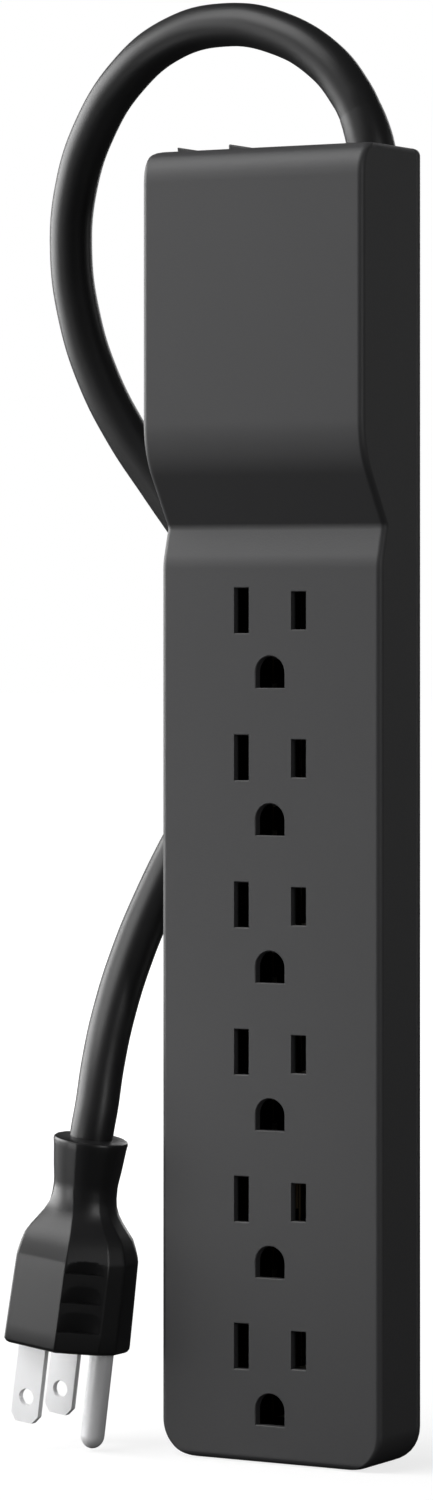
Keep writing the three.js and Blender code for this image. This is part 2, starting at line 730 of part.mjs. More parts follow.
function plugBody() {
  const front = polygon([
    [-4.1, 0],
    [16.5, 0],
    [16.3, 18.3],
    [10.2, 30.8],
    [-2.4, 30.8],
    [-3.7, 18.3],
  ]);
  const side = polygon([
    [-11.8, 0],
    [11.8, 0],
    [11.1, 18.3],
    [6.3, 30.8],
    [-6.3, 30.8],
    [-11.1, 18.3],
  ]);
  const section = roundedOutline([
    [-4.1, -11.8, 0.8],
    [7.9, -11.8, 0.6],
    [14.2, -6.3, 0],
    [16.5, -3.5, 0],
    [16.5, 3.5, 0],
    [14.2, 6.3, 0],
    [7.9, 11.8, 0.6],
    [-4.1, 11.8, 0.8],
  ]);
  const grip = common(
    prism(front, "Y", -12, 12),
    prism(side, "X", -5, 17),
    prism(section, "Z", 0, 30.8, 1),
  );
  const neckProfile = [
    [0, 30],
    [6.3, 30],
    [6.3, 31],
    [7.4, PLUG_LENGTH],
    [5.5, PLUG_LENGTH],
    [5.5, PLUG_LENGTH - NECK_RECESS],
    [0, PLUG_LENGTH - NECK_RECESS],
  ];
  const neck = turned(neckProfile, 20).rotateX(Math.PI / 2).translate(NECK_X, 0, 0);
  return cut(join(grip, neck), bladeStrip(-1, GAP), bladeStrip(1, GAP), groundPin(GAP));
}

// A flat blade with its tip's corners cut off; extra widens it into the pocket that it sits in.
function bladeStrip(side, extra) {
  const half = 3.1 + extra;
  const top = POCKET_DEPTH + extra;
  const tip = -BLADE_LENGTH;
  const outline = polygon([
    [-half, tip + 1.5],
    [-half + 1.2, tip],
    [half - 1.2, tip],
    [half, tip + 1.5],
    [half, top],
    [-half, top],
  ]);
  const thick = 0.75 + extra;
  return prism(outline, "Y", side * SLOT_X - thick, side * SLOT_X + thick);
}

function blade(side) {
  return cut(bladeStrip(side, 0), rod("Y", 1.65, -9, 9, [0, 5 - BLADE_LENGTH], 12));
}

function groundPin(extra) {
  const radius = 2.35 + extra;
  const profile = [
    [0, -PIN_LENGTH],
    [radius * 0.45, 0.3 - PIN_LENGTH],
    [radius * 0.85, 1.3 - PIN_LENGTH],
    [radius, 2.8 - PIN_LENGTH],
    [radius, POCKET_DEPTH + extra],
    [0, POCKET_DEPTH + extra],
  ];
  return turned(profile, 14).rotateX(Math.PI / 2).translate(GROUND_DROP, 0, 0);
}

function cordClamp() {
  const bar = box(6.9, 21.1, CLAMP_Y, CLAMP_Y + 1.5, CLAMP_Z - 2.5, CLAMP_Z + 2.5);
  return cut(bar, rod("Y", 1.3, CLAMP_Y - 1, CLAMP_Y + 3, [CLAMP_SCREW_X, CLAMP_Z], 8));
}

function buildCord() {
  const jacketTop = RELIEF_BOTTOM_Z - GAP;
  node("strain_relief", "jacket", strainRelief());
  node("power_cord", "jacket", tube(CORD_ROUTE, CORD_RADIUS, 10, 52));
  const jacketEnd = rod("Z", CORD_RADIUS, JACKET_END_Z, jacketTop, [EXIT.x, EXIT.y], 14);
  node("cord_inner_end", "jacket", jacketEnd);
  node("cord_clamp", "insulator", cordClamp());
  screw("clamp_screw", [CLAMP_SCREW_X, CLAMP_Z], CLAMP_Y + 1.6, 1, SMALL_SCREW);
  const plug = new THREE.Group();
  plug.position.set(PLUG.x, PLUG.y, PLUG.z);
  plug.rotation.y = PLUG.lean;
  node("plug_body", "jacket", plugBody(), plug);
  node("plug_blade_neutral", "nickel", blade(-1), plug);
  node("plug_blade_line", "nickel", blade(1), plug);
  node("plug_ground_pin", "nickel", groundPin(0), plug);
  part.add(plug);
}

buildHousing();
buildContacts();
buildSwitch();
buildBreaker();
buildBoard();
buildWires();
buildCord();

export default part;
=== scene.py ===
"""Upright surge protector strip with its cord and plug, dressed over the CAD frame."""
import math
import bmesh
import bpy
from mathutils import Matrix, Vector


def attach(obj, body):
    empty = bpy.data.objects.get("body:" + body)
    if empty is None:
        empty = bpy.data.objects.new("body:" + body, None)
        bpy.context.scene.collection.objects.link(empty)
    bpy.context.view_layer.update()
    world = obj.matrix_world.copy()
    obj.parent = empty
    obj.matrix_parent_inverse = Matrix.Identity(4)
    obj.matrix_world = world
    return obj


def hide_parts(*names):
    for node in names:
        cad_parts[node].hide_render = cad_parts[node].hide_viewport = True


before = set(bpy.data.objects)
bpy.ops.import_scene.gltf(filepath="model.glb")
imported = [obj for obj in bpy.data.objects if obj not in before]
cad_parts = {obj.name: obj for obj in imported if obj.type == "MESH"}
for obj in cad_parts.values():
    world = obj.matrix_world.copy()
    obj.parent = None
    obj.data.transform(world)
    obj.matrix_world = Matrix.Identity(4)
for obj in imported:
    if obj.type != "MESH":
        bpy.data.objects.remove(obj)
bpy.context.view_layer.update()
MM = 0.001

# Housing, in millimetres, as in the CAD, with three changes: the cover starts 0.15 further back, so that
# the seam shows, the edges are 0.2 rounder, and the three lower corners of PROFILE are shaped afresh.
HALF_WIDTH = 24.5
HEIGHT = 255.0
WALL = 1.8
FACE_Y = -8.25  # plane of the outlets
BLOCK_Y = -15.75  # front of the raised block
SEAM_Y = 6.0  # end of the front shell
COVER_Y = 6.45  # start of the back cover
RIM_Y = 8.05  # end of the cover's straight rim
BACK_Y = 15.75
BACK_INSET = 5.5  # how far the cover's sides slope in
EDGE = 1.3  # rounding between front and sides
FOOT_RADIUS = 7.0  # bottom corners, seen from the front
HEAD_RADIUS = 1.5  # top corners, seen from the front

OUTLET_LINES = [22.3 + 28.6 * i for i in range(6)]
SLOT_X = 6.35
SLOT_WIDTH = 3.2
NEUTRAL_SLOT_HEIGHT = 8.8
LINE_SLOT_HEIGHT = 7.3
GROUND_DROP = 11.9  # ground hole's centre below the slots' line
GROUND_HOLE_RADIUS = 3.2
GROUND_HOLE_FOOT = 3.1  # its flat edge below its centre
GROUND_ARCH_DROP = 0.1  # its arch's centre below its centre
HOLE_CHAMFER = 0.2

# Cuts in the top end. The windows are given as left, right, front and back.
TOP_CUT = (250, 257)
ROCKER_WINDOW = (-22.5, -10.7, -8.8, 3.8)
BUTTON_WINDOW = (-9.5, -4.1, -8.7, 0.1)
CORD_HOLE_RADIUS = 4.95
CORD_HOLE_SHIFT = 0.6  # the cord has started to bend where it passes the wall

# Cuts in the back cover.
COVER_SCREWS = [(x, z) for z in (10, 108, 188) for x in (-15, 15)]
KEYHOLES = [48.5, 181.85]
KEYHOLE_RADIUS = 4
KEYHOLE_NECK = 2.2
KEYHOLE_RISE = 9
RECESS_RADIUS = 3.2
SCREW_HOLE_RADIUS = 1.6
CUT_FROM_Y = 12.6
PAST_BACK_Y = BACK_Y + 2

# Middle line of the cord, in metres, from the strain relief to the plug's neck.
CORD_EXIT = (0.01521, 0.00275, 0.25929)
CORD_ROUTE = [
    CORD_EXIT,
    (0.01395, 0.00275, 0.2623), (0.0120, 0.0028, 0.2657), (0.0063, 0.0030, 0.2723),
    (-0.0051, 0.0037, 0.2787), (-0.0178, 0.0048, 0.2810), (-0.0306, 0.0061, 0.2789),
    (-0.0417, 0.0076, 0.2722), (-0.0501, 0.0091, 0.2624), (-0.0555, 0.0106, 0.2507),
    (-0.0576, 0.0121, 0.2379), (-0.0566, 0.0136, 0.2250), (-0.0531, 0.0152, 0.2126),
    (-0.0473, 0.0168, 0.2011), (-0.0399, 0.0184, 0.1902), (-0.0326, 0.0198, 0.1797),
    (-0.0261, 0.0208, 0.1682), (-0.0226, 0.0213, 0.1557), (-0.0228, 0.0206, 0.1428),
    (-0.0269, 0.0182, 0.1308), (-0.0322, 0.0145, 0.1197), (-0.0359, 0.0093, 0.1081),
    (-0.0380, 0.0032, 0.0965), (-0.0386, -0.0029, 0.0851), (-0.0384, -0.0073, 0.0755),
    (-0.0383, -0.0098, 0.0675), (-0.0387, -0.0106, 0.0634), (-0.03915, -0.01075, 0.06015),
]
CORD_RADIUS = 0.0043
EXIT = (17.2, 2.75, 248.0)  # where the cord starts to bend, in millimetres
EXIT_BEND = 33.0
RELIEF_FOOT_Z = 241
RELIEF_LENGTH = 21.46

# The plug's lean and place, then its sizes in millimetres in its own frame. That frame's Z runs up from
# the face that the blades leave.
PLUG_LEAN = math.radians(7.5)
PLUG_AT = Vector((-48.2, -10.75, 21.3)) * MM
PLUG_FRAME = Matrix.Translation(PLUG_AT) @ Matrix.Rotation(PLUG_LEAN, 4, "Y")
NECK_X = 3.9  # cord's axis from the blades' middle line, towards the ground pin
NECK_FOOT_RADIUS = 6.35
GRIP_LEFT = -4.1
GRIP_WIDTH = 20.6
GRIP_HALF = 11.8
BLADE_HALF_THICKNESS = 0.75
POCKET = 5.5  # how far blades and pin go into the plug
PIN_RADIUS = 2.35
PIN_LENGTH = 19.6

# Lights as place, aim, width, height and watts, in metres.
LIGHTS = {
    "key_box": ((-0.6, -0.8, 1.42), (0, 0, 0.12), 1.2, 1.2, 22.5),
    "side_box": ((1.22, -0.52, 0.3), (0, 0, 0.15), 0.25, 0.75, 3.6),
    "edge_box": ((0.9, 1.0, 0.3), (0, 0, 0.15), 0.4, 0.75, 0.9),
    "left_box": ((-1.38, -0.22, 0.36), (0, 0, 0.16), 1.5, 1.1, 36),
    "back_box": ((-0.3, 1.5, 0.5), (0, 0, 0.14), 0.8, 0.8, 4),
    "mirror_box": ((-0.86, -1.5, 0.38), (0, 0, 0.2), 1.3, 0.5, 2.2),
    "floor_glow": ((-0.27, -0.38, 0.003), (-0.27, -0.38, 1), 0.1, 0.4, 0.35),
    "prong_box": ((-0.2, -0.28, 0.035), (-0.045, -0.015, 0.03), 0.1, 0.05, 0.0095),
}
GLOW_TURN = math.radians(-32)
PRONG_SPREAD = math.radians(50)
WORLD_SEEN = 1.0
WORLD_LIGHTING = 0.04
FLOOR_HALF = 8.0
FLOOR_Z = -0.0002
FLOOR_LIGHTING_GREY = 0.03
FLOOR_SEEN_GREY = 0.25
FLOOR_SHADE_REACH = (0.12, 0.7)  # distances over which the floor's painted shade round the object gives way to full glow
FLOOR_SHADED_GLOW = (0.78, 1.0)  # the floor's glow at those distances, dimmer near the object as painted shade


# ---- camera, light and floor ----
def look_camera():
    data = bpy.data.cameras.new("view")
    data.sensor_fit = "VERTICAL"
    data.sensor_height = 36
    data.lens = 127.4
    data.shift_y = -0.0936
    camera = bpy.data.objects.new("view", data)
    camera.location = (0.5044, -0.9047, 0.1655)
    camera.rotation_euler = (math.radians(90), 0, math.radians(29.94))
    bpy.context.scene.collection.objects.link(camera)
    bpy.context.scene.camera = camera


def soft_light(name, place, aim, width, height, watts):
    data = bpy.data.lights.new(name, "AREA")
    data.shape = "RECTANGLE"
    data.size = width
    data.size_y = height
    data.energy = watts
    light = bpy.data.objects.new(name, data)
    light.location = place
    way = Vector(aim) - Vector(place)
    light.rotation_euler = way.to_track_quat("-Z", "Y").to_euler()
    light.visible_camera = False
    bpy.context.scene.collection.objects.link(light)
    return light


def place_lights():
    made = {name: soft_light(name, *values) for name, values in LIGHTS.items()}
    made["floor_glow"].rotation_euler = (math.pi, 0, GLOW_TURN)
    made["prong_box"].data.spread = PRONG_SPREAD


def seen_or_lighting(tree, seen, lighting):
    """Shows one shader to the camera while the other one lights the object."""
    path = tree.nodes.new("ShaderNodeLightPath")
    mix = tree.nodes.new("ShaderNodeMixShader")
    tree.links.new(path.outputs["Is Camera Ray"], mix.inputs[0])
    tree.links.new(lighting.outputs[0], mix.inputs[1])
    tree.links.new(seen.outputs[0], mix.inputs[2])
    return mix


def lay_world():
    bpy.context.scene.view_settings.view_transform = "Standard"
    world = bpy.data.worlds.new("studio")
    bpy.context.scene.world = world
    world.use_nodes = True
    tree = world.node_tree
    tree.nodes.clear()
    out = tree.nodes.new("ShaderNodeOutputWorld")
    shades = []
    for strength in (WORLD_SEEN, WORLD_LIGHTING):
        shade = tree.nodes.new("ShaderNodeBackground")
        shade.inputs["Color"].default_value = (1, 1, 1, 1)
        shade.inputs["Strength"].default_value = strength
        shades.append(shade)
    tree.links.new(seen_or_lighting(tree, *shades).outputs[0], out.inputs["Surface"])


def matte(shader, grey):
    shader.inputs["Base Color"].default_value = (grey, grey, grey, 1)
    shader.inputs["Roughness"].default_value = 0.9
    shader.inputs["Specular IOR Level"].default_value = 0.0


def floor_paper():
    """Pale paper with painted shade round the object, as its glow is dimmer near the object; it lights
    the object only a little.
    """
    paper = bpy.data.materials.new("floor_paper")
    paper.use_nodes = True
    tree = paper.node_tree
    lighting = tree.nodes["Principled BSDF"]
    matte(lighting, FLOOR_LIGHTING_GREY)
    seen = tree.nodes.new("ShaderNodeBsdfPrincipled")
    matte(seen, FLOOR_SEEN_GREY)
    seen.inputs["Emission Color"].default_value = (1, 1, 1, 1)
    place = tree.nodes.new("ShaderNodeTexCoord")
    reach = tree.nodes.new("ShaderNodeVectorMath")
    reach.operation = "LENGTH"
    # painted shade: the glow seen by the camera dims towards the object, standing in for its shadow on
    # the floor
    shade_ramp = tree.nodes.new("ShaderNodeMapRange")
    for side, distance, glow in zip(("Min", "Max"), FLOOR_SHADE_REACH, FLOOR_SHADED_GLOW):
        shade_ramp.inputs["From " + side].default_value = distance
        shade_ramp.inputs["To " + side].default_value = glow
    tree.links.new(place.outputs["Object"], reach.inputs[0])
    tree.links.new(reach.outputs["Value"], shade_ramp.inputs["Value"])
    tree.links.new(shade_ramp.outputs["Result"], seen.inputs["Emission Strength"])
    mix = seen_or_lighting(tree, seen, lighting)
    tree.links.new(mix.outputs[0], tree.nodes["Material Output"].inputs["Surface"])
    return paper


def lay_floor():
    mesh = bpy.data.meshes.new("floor")
    signs = [(-1, -1), (1, -1), (1, 1), (-1, 1)]
    mesh.from_pydata([(x * FLOOR_HALF, y * FLOOR_HALF, 0) for x, y in signs], [], [(0, 1, 2, 3)])
    floor = bpy.data.objects.new("floor", mesh)
    floor.location.z = FLOOR_Z
    bpy.context.scene.collection.objects.link(floor)
    mesh.materials.append(floor_paper())


# ---- materials ----
BROAD_SCALE = 45
MOTTLE = 0.06
GLOSS_RANGE = 0.05
GRAIN_DEPTH = 0.00004


def moulded(name, color, rough, grain=2600, bump=0.2, metal=0.0, shine=0.5):
    """Moulded or stamped surface: faint colour and gloss variation over a fine raised grain."""
    look = bpy.data.materials.new(name)
    look.use_nodes = True
    tree = look.node_tree
    shader = tree.nodes["Principled BSDF"]
    shader.inputs["Metallic"].default_value = metal
    shader.inputs["Specular IOR Level"].default_value = shine
    place = tree.nodes.new("ShaderNodeTexCoord")
    broad = tree.nodes.new("ShaderNodeTexNoise")
    broad.inputs["Scale"].default_value = BROAD_SCALE
    broad.inputs["Detail"].default_value = 4
    fine = tree.nodes.new("ShaderNodeTexNoise")
    fine.inputs["Scale"].default_value = grain
    fine.inputs["Detail"].default_value = 2
    for noise in (broad, fine):
        tree.links.new(place.outputs["Object"], noise.inputs["Vector"])
    tint = tree.nodes.new("ShaderNodeMapRange")
    tint.inputs["To Min"].default_value = 1 - MOTTLE
    tint.inputs["To Max"].default_value = 1 + MOTTLE
    tree.links.new(broad.outputs["Fac"], tint.inputs["Value"])
    scaled = tree.nodes.new("ShaderNodeVectorMath")
    scaled.operation = "SCALE"
    scaled.inputs[0].default_value = color
    tree.links.new(tint.outputs["Result"], scaled.inputs["Scale"])
    tree.links.new(scaled.outputs["Vector"], shader.inputs["Base Color"])
    gloss = tree.nodes.new("ShaderNodeMapRange")
    gloss.inputs["To Min"].default_value = rough - GLOSS_RANGE
    gloss.inputs["To Max"].default_value = rough + GLOSS_RANGE
    tree.links.new(fine.outputs["Fac"], gloss.inputs["Value"])
    tree.links.new(gloss.outputs["Result"], shader.inputs["Roughness"])
    raised = tree.nodes.new("ShaderNodeBump")
    raised.inputs["Strength"].default_value = bump
    raised.inputs["Distance"].default_value = GRAIN_DEPTH
    tree.links.new(fine.outputs["Fac"], raised.inputs["Height"])
    tree.links.new(raised.outputs["Normal"], shader.inputs["Normal"])
    return look


LOOKS = {
    "shell": moulded("shell_plastic", (0.036, 0.036, 0.0375), 0.52, bump=0.35),
    "cover": moulded("cover_plastic", (0.033, 0.033, 0.0345), 0.54, bump=0.35),
    "control": moulded("control_plastic", (0.012, 0.012, 0.0125), 0.42, bump=0.15),
    "cord": moulded("cord_jacket", (0.012, 0.012, 0.0125), 0.40, grain=1400, bump=0.05,
                    shine=0.4),
    "plug": moulded("plug_jacket", (0.010, 0.010, 0.0105), 0.36, grain=2200, bump=0.2),
    "insulator": moulded("insulating_plastic", (0.60, 0.56, 0.48), 0.55),
    "brass": moulded("contact_brass", (0.45, 0.30, 0.12), 0.38, grain=900, metal=1.0),
    # painted shade: brass darkened tenfold for the bus contacts, which are seen only deep in the slots,
    # standing in for the shade there
    "socket_in_shade": moulded("socket_brass_painted_shade", (0.045, 0.03, 0.013), 0.5, grain=900, metal=1.0),
    "nickel": moulded("blade_nickel", (0.97, 0.97, 0.98), 0.32, grain=1100, bump=0.12, metal=0.25),
    "steel": moulded("screw_steel", (0.50, 0.50, 0.51), 0.36, grain=1500, metal=1.0),
    "board": moulded("circuit_board", (0.03, 0.12, 0.045), 0.45, grain=700),
    "varistor": moulded("varistor_coating", (0.03, 0.10, 0.38), 0.35, grain=600),
    "fuse": moulded("fuse_case", (0.58, 0.58, 0.6), 0.34, metal=1.0),
    "capacitor": moulded("capacitor_case", (0.55, 0.36, 0.04), 0.35, grain=500),
    "black_wire": moulded("black_insulation", (0.010, 0.010, 0.010), 0.42, grain=1200),
    "white_wire": moulded("white_insulation", (0.72, 0.72, 0.69), 0.42, grain=1200),
    "green_wire": moulded("green_insulation", (0.03, 0.20, 0.06), 0.42, grain=1200),
}
CAD_LOOKS = {
    # the bus contacts get the brass darkened as painted shade
    "socket_in_shade": ["neutral_bus", "hot_bus", "ground_bus"],
    "brass": ["switch_common_terminal", "switch_load_terminal", "rocker_contact_arm",
              "breaker_terminal_line", "breaker_terminal_load"],
    "insulator": ["bus_retainer", "breaker_body", "cord_clamp"],
    "control": ["switch_housing"],
    "steel": ["retainer_screw_1", "retainer_screw_2", "retainer_screw_3", "board_screw_1",
              "board_screw_2", "clamp_screw", "reset_spring"],
    "board": ["circuit_board"],
    "varistor": ["varistor_1", "varistor_2", "varistor_3"],
    "fuse": ["thermal_fuse"],
    "capacitor": ["filter_capacitor"],
    "black_wire": ["line_lead", "breaker_lead", "switch_lead", "board_lead_hot"],
    "white_wire": ["neutral_lead", "board_lead_neutral"],
    "green_wire": ["ground_lead", "board_lead_ground"],
    "cord": ["cord_inner_end"],
}


def dress_cad_nodes():
    for look, names in CAD_LOOKS.items():
        for name in names:
            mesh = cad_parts[name].data
            for i in range(max(len(mesh.materials), 1)):
                if i < len(mesh.materials):
                    mesh.materials[i] = LOOKS[look]
                else:
                    mesh.materials.append(LOOKS[look])


# ---- mesh helpers, all in millimetres until placed ----
def solid(name, points, faces, matrix=Matrix.Identity(4)):
    mesh = bpy.data.meshes.new(name)
    mesh.from_pydata([matrix @ (Vector(p) * MM) for p in points], [], faces)
    mesh.validate()
    work = bmesh.new()
    work.from_mesh(mesh)
    bmesh.ops.remove_doubles(work, verts=work.verts, dist=1e-7)
    bmesh.ops.recalc_face_normals(work, faces=work.faces)
    work.to_mesh(mesh)
    work.free()
    obj = bpy.data.objects.new(name, mesh)
    bpy.context.scene.collection.objects.link(obj)
    return obj


def loft(name, rings, matrix=Matrix.Identity(4)):
    """Closed body through rings of equal point counts, capped at both ends."""
    count = len(rings[0])
    points = [p for ring in rings for p in ring]
    faces = [tuple(range(count))[::-1]]
    for r in range(len(rings) - 1):
        a, b = r * count, (r + 1) * count
        for i in range(count):
            j = (i + 1) % count
            faces.append((a + i, a + j, b + j, b + i))
    last = (len(rings) - 1) * count
    faces.append(tuple(range(last, last + count)))
    return solid(name, points, faces, matrix)


AXES = {
    "Y": lambda u, v, w: (u, w, v),
    "Z": lambda u, v, w: (u, v, w),
}


def prism(name, outline, axis, start, end, matrix=Matrix.Identity(4)):
    rings = [[AXES[axis](u, v, w) for u, v in outline] for w in (start, end)]
    return loft(name, rings, matrix)


def rod(axis, center, radii_at, sides=32, matrix=Matrix.Identity(4)):
    """Round body through pairs of a radius and its place along an axis."""
    rings = []
    for radius, w in radii_at:
        ring = []
        for i in range(sides):
            angle = 2 * math.pi * i / sides
            u = center[0] + radius * math.cos(angle)
            v = center[1] + radius * math.sin(angle)
            ring.append(AXES[axis](u, v, w))
        rings.append(ring)
    return loft("rod", rings, matrix)


def bore(x, z, radius, start, end):
    """Cutter for a round hole from front to back."""
    return rod("Y", (x, z), [(radius, start), (radius, end)])


def box(x0, x1, y0, y1, z0, z1):
    return prism("box", [(x0, y0), (x1, y0), (x1, y1), (x0, y1)], "Z", z0, z1)


def modified(obj, kind, **settings):
    """Applies one modifier to an object's mesh."""
    change = obj.modifiers.new(kind, kind)
    for key, value in settings.items():
        setattr(change, key, value)
    bpy.context.view_layer.update()
    graph = bpy.context.evaluated_depsgraph_get()
    mesh = bpy.data.meshes.new_from_object(obj.evaluated_get(graph), depsgraph=graph)
    obj.modifiers.clear()
    old = obj.data
    obj.data = mesh
    bpy.data.meshes.remove(old)
    return obj


def united(objects):
    """Bodies that don't touch, as one mesh."""
    work = bmesh.new()
    for obj in objects:
        work.from_mesh(obj.data)
        discard(obj)
    mesh = bpy.data.meshes.new("united")
    work.to_mesh(mesh)
    work.free()
    obj = bpy.data.objects.new("united", mesh)
    bpy.context.scene.collection.objects.link(obj)
    return obj


def discard(obj):
    mesh = obj.data
    bpy.data.objects.remove(obj)
    bpy.data.meshes.remove(mesh)


def combined(obj, other, operation="DIFFERENCE"):
    """Cuts another body away from one, or joins it on, and discards the other."""
    modified(obj, "BOOLEAN", operation=operation, object=other, solver="MANIFOLD")
    discard(other)
    return obj


def softened(obj, width):
    return modified(obj, "BEVEL", width=width * MM, segments=2, limit_method="ANGLE",
                    angle_limit=math.radians(30), miter_outer="MITER_ARC", harden_normals=False)


def finish_piece(obj, name, look, body, nodes, smooth=32):
    """Names, dresses and declares a piece; faces that meet at more than smooth degrees stay sharp."""
    obj.name = name
    obj.data.name = name
    obj.data.materials.clear()
    obj.data.materials.append(LOOKS[look])
    mesh = obj.data
    mesh.shade_smooth()
    mesh.set_sharp_from_angle(angle=math.radians(smooth))
    modified(obj, "WEIGHTED_NORMAL", keep_sharp=True, weight=60)
    obj.data.name = name
    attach(obj, body)
    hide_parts(*nodes)
    return obj


# ---- front shell ----
def corner_curve(before, corner, after, radius, steps=9):
    """Points of a rounded corner between two straight runs, as (y, z)."""
    here = Vector(corner)
    back = (Vector(before) - here).normalized()
    ahead = (Vector(after) - here).normalized()
    half = back.angle(ahead) / 2
    reach = radius / math.tan(half)
    start, end = here + back * reach, here + ahead * reach
    found = []
    for i in range(steps + 1):
        t = i / steps
        found.append(start * (1 - t) ** 2 + here * 2 * t * (1 - t) + end * t ** 2)
    return found


# The front seen from the side, as (y, z), and the radius of each corner.
PROFILE = [(FACE_Y, 0), (FACE_Y, 174.8), (FACE_Y + 2, 181.6), (BLOCK_Y, 196.0), (BLOCK_Y, HEIGHT)]
PROFILE_RADII = [None, 9, 1.6, 19, 6.5]


def front_profile():
    """The profile's points, from its rounded bottom edge up to the top end's front corner."""
    points = []
    steps = 8
    for i in range(steps + 1):
        turn = math.pi / 2 * i / steps
        points.append((FACE_Y + EDGE * (1 - math.sin(turn)), EDGE * (1 - math.cos(turn))))
    ends = PROFILE + [(SEAM_Y, HEIGHT)]
    for i in range(1, len(PROFILE)):
        curve = corner_curve(ends[i - 1], ends[i], ends[i + 1], PROFILE_RADII[i])
        points += [tuple(p) for p in curve]
    return points


def depth_at(profile, z):
    for (y0, z0), (y1, z1) in zip(profile, profile[1:]):
        if z0 <= z <= z1 and z1 > z0:
            return y0 + (y1 - y0) * (z - z0) / (z1 - z0)
    return profile[-1][0]


def half_width_at(z, inset=0.0):
    if z < FOOT_RADIUS:
        reach = math.sqrt(max(FOOT_RADIUS ** 2 - (FOOT_RADIUS - z) ** 2, 0))
        return HALF_WIDTH - FOOT_RADIUS + reach - inset
    if z > HEIGHT - HEAD_RADIUS:
        over = z - (HEIGHT - HEAD_RADIUS)
        reach = math.sqrt(max(HEAD_RADIUS ** 2 - over ** 2, 0))
        return HALF_WIDTH - HEAD_RADIUS + reach - inset
    return HALF_WIDTH - inset


def shell_rows(profile, low, high):
    """Heights of the shell's rings: the profile's own, and more round the corners."""
    foot_steps, head_steps = 14, 5
    heights = {round(z, 4) for _, z in profile if low < z < high} | {low, high}
    for i in range(1, foot_steps + 1):
        turn = math.pi / 2 * i / foot_steps
        heights.add(round(FOOT_RADIUS * (1 - math.cos(turn)), 4))
    for i in range(head_steps + 1):
        turn = math.pi / 2 * i / head_steps
        heights.add(round(HEIGHT - HEAD_RADIUS + HEAD_RADIUS * math.sin(turn), 4))
    return sorted(z for z in heights if low <= z <= high)


def shell_ring(z, y, half, edge, back):
    steps = 7
    ring = [(half, back, z)]
    for i in range(steps + 1):
        turn = math.pi / 2 * i / steps
        ring.append((half - edge * (1 - math.cos(turn)), y + edge * (1 - math.sin(turn)), z))
    mirrored = [(-x, yy, zz) for x, yy, zz in reversed(ring)]
    return ring + mirrored


def front_body(inset=0.0):
    """The shell's outside or, with an inset, the hollow to cut from it, open at the back."""
    profile = front_profile()
    low, high = inset, HEIGHT - inset
    back = SEAM_Y + (4 if inset else 0)
    edge = 0.4 if inset else EDGE
    rings = []
    for z in shell_rows(profile, low, high):
        y = depth_at(profile, z) + inset
        rings.append(shell_ring(z, y, half_width_at(z, inset), edge, back))
    return loft("shell", rings)


def flared(outline, depth, flare, y):
    """A hole's cutter: straight through, with a small chamfer at its mouth."""
    middle = Vector((sum(u for u, _ in outline), sum(v for _, v in outline))) / len(outline)
    wide = []
    for u, v in outline:
        away = (Vector((u, v)) - middle).normalized() * flare
        wide.append((u + away.x, v + away.y))
    rings = [[(u, w, v) for u, v in line] for line, w in (
        (wide, y - 1), (wide, y), (outline, y + flare * 0.8), (outline, y + depth))]
    return loft("hole", rings)


def slot_outline(x, z, height):
    half, tall = SLOT_WIDTH / 2, height / 2
    return [(x - half, z - tall), (x + half, z - tall), (x + half, z + tall), (x - half, z + tall)]


def ground_outline(z):
    radius, steps = GROUND_HOLE_RADIUS, 14
    low, top = z - GROUND_HOLE_FOOT, z - GROUND_ARCH_DROP
    arch = [(radius * math.cos(math.pi * i / steps), top + radius * math.sin(math.pi * i / steps))
            for i in range(steps + 1)]
    return [(-radius, low), (radius, low)] + arch


def cord_hole():
    return rod("Z", (EXIT[0] - CORD_HOLE_SHIFT, EXIT[1]), [(CORD_HOLE_RADIUS, z) for z in TOP_CUT])


def make_front_shell():
    shell = combined(front_body(), front_body(WALL))
    holes = []
    for z in OUTLET_LINES:
        outlines = [slot_outline(-SLOT_X, z, NEUTRAL_SLOT_HEIGHT),
                    slot_outline(SLOT_X, z, LINE_SLOT_HEIGHT), ground_outline(z - GROUND_DROP)]
        holes += [flared(o, WALL + 1, HOLE_CHAMFER, FACE_Y) for o in outlines]
    holes += [box(*window, *TOP_CUT) for window in (ROCKER_WINDOW, BUTTON_WINDOW)]
    holes.append(cord_hole())
    combined(shell, united(holes))
    finish_piece(shell, "shell_front", "shell", "housing", ["front_shell"])


# ---- back cover ----
def cover_ring(inset, y):
    """The cover's outline at a depth, drawn in by an inset all round."""
    steps = 8
    ring = []
    corners = [(-1, 0, FOOT_RADIUS), (1, 0, FOOT_RADIUS), (1, 1, HEAD_RADIUS), (-1, 1, HEAD_RADIUS)]
    for n, (side, upper, radius) in enumerate(corners):
        r = max(radius - inset, 0.8)
        cx = side * (HALF_WIDTH - inset - r)
        cz = HEIGHT - inset - r if upper else inset + r
        for i in range(steps + 1):
            turn = math.radians(180 + 90 * n + 90 * i / steps)
            ring.append((cx + r * math.cos(turn), y, cz + r * math.sin(turn)))
    return ring


def screw_cup(x, z):
    """The seat that a cover screw's head is sunk in."""
    cup = bore(x, z, 3.9, 11.3, BACK_Y - 0.6)
    combined(cup, bore(x, z, RECESS_RADIUS, 13.35, PAST_BACK_Y))
    combined(cup, bore(x, z, SCREW_HOLE_RADIUS, 10, PAST_BACK_Y))
    return cup


def keyhole_neck(z):
    top = z + KEYHOLE_RISE
    neck = bore(0, top, KEYHOLE_NECK, CUT_FROM_Y, PAST_BACK_Y)
    strip = box(-KEYHOLE_NECK, KEYHOLE_NECK, CUT_FROM_Y, PAST_BACK_Y, z, top)
    return combined(neck, strip, "UNION")


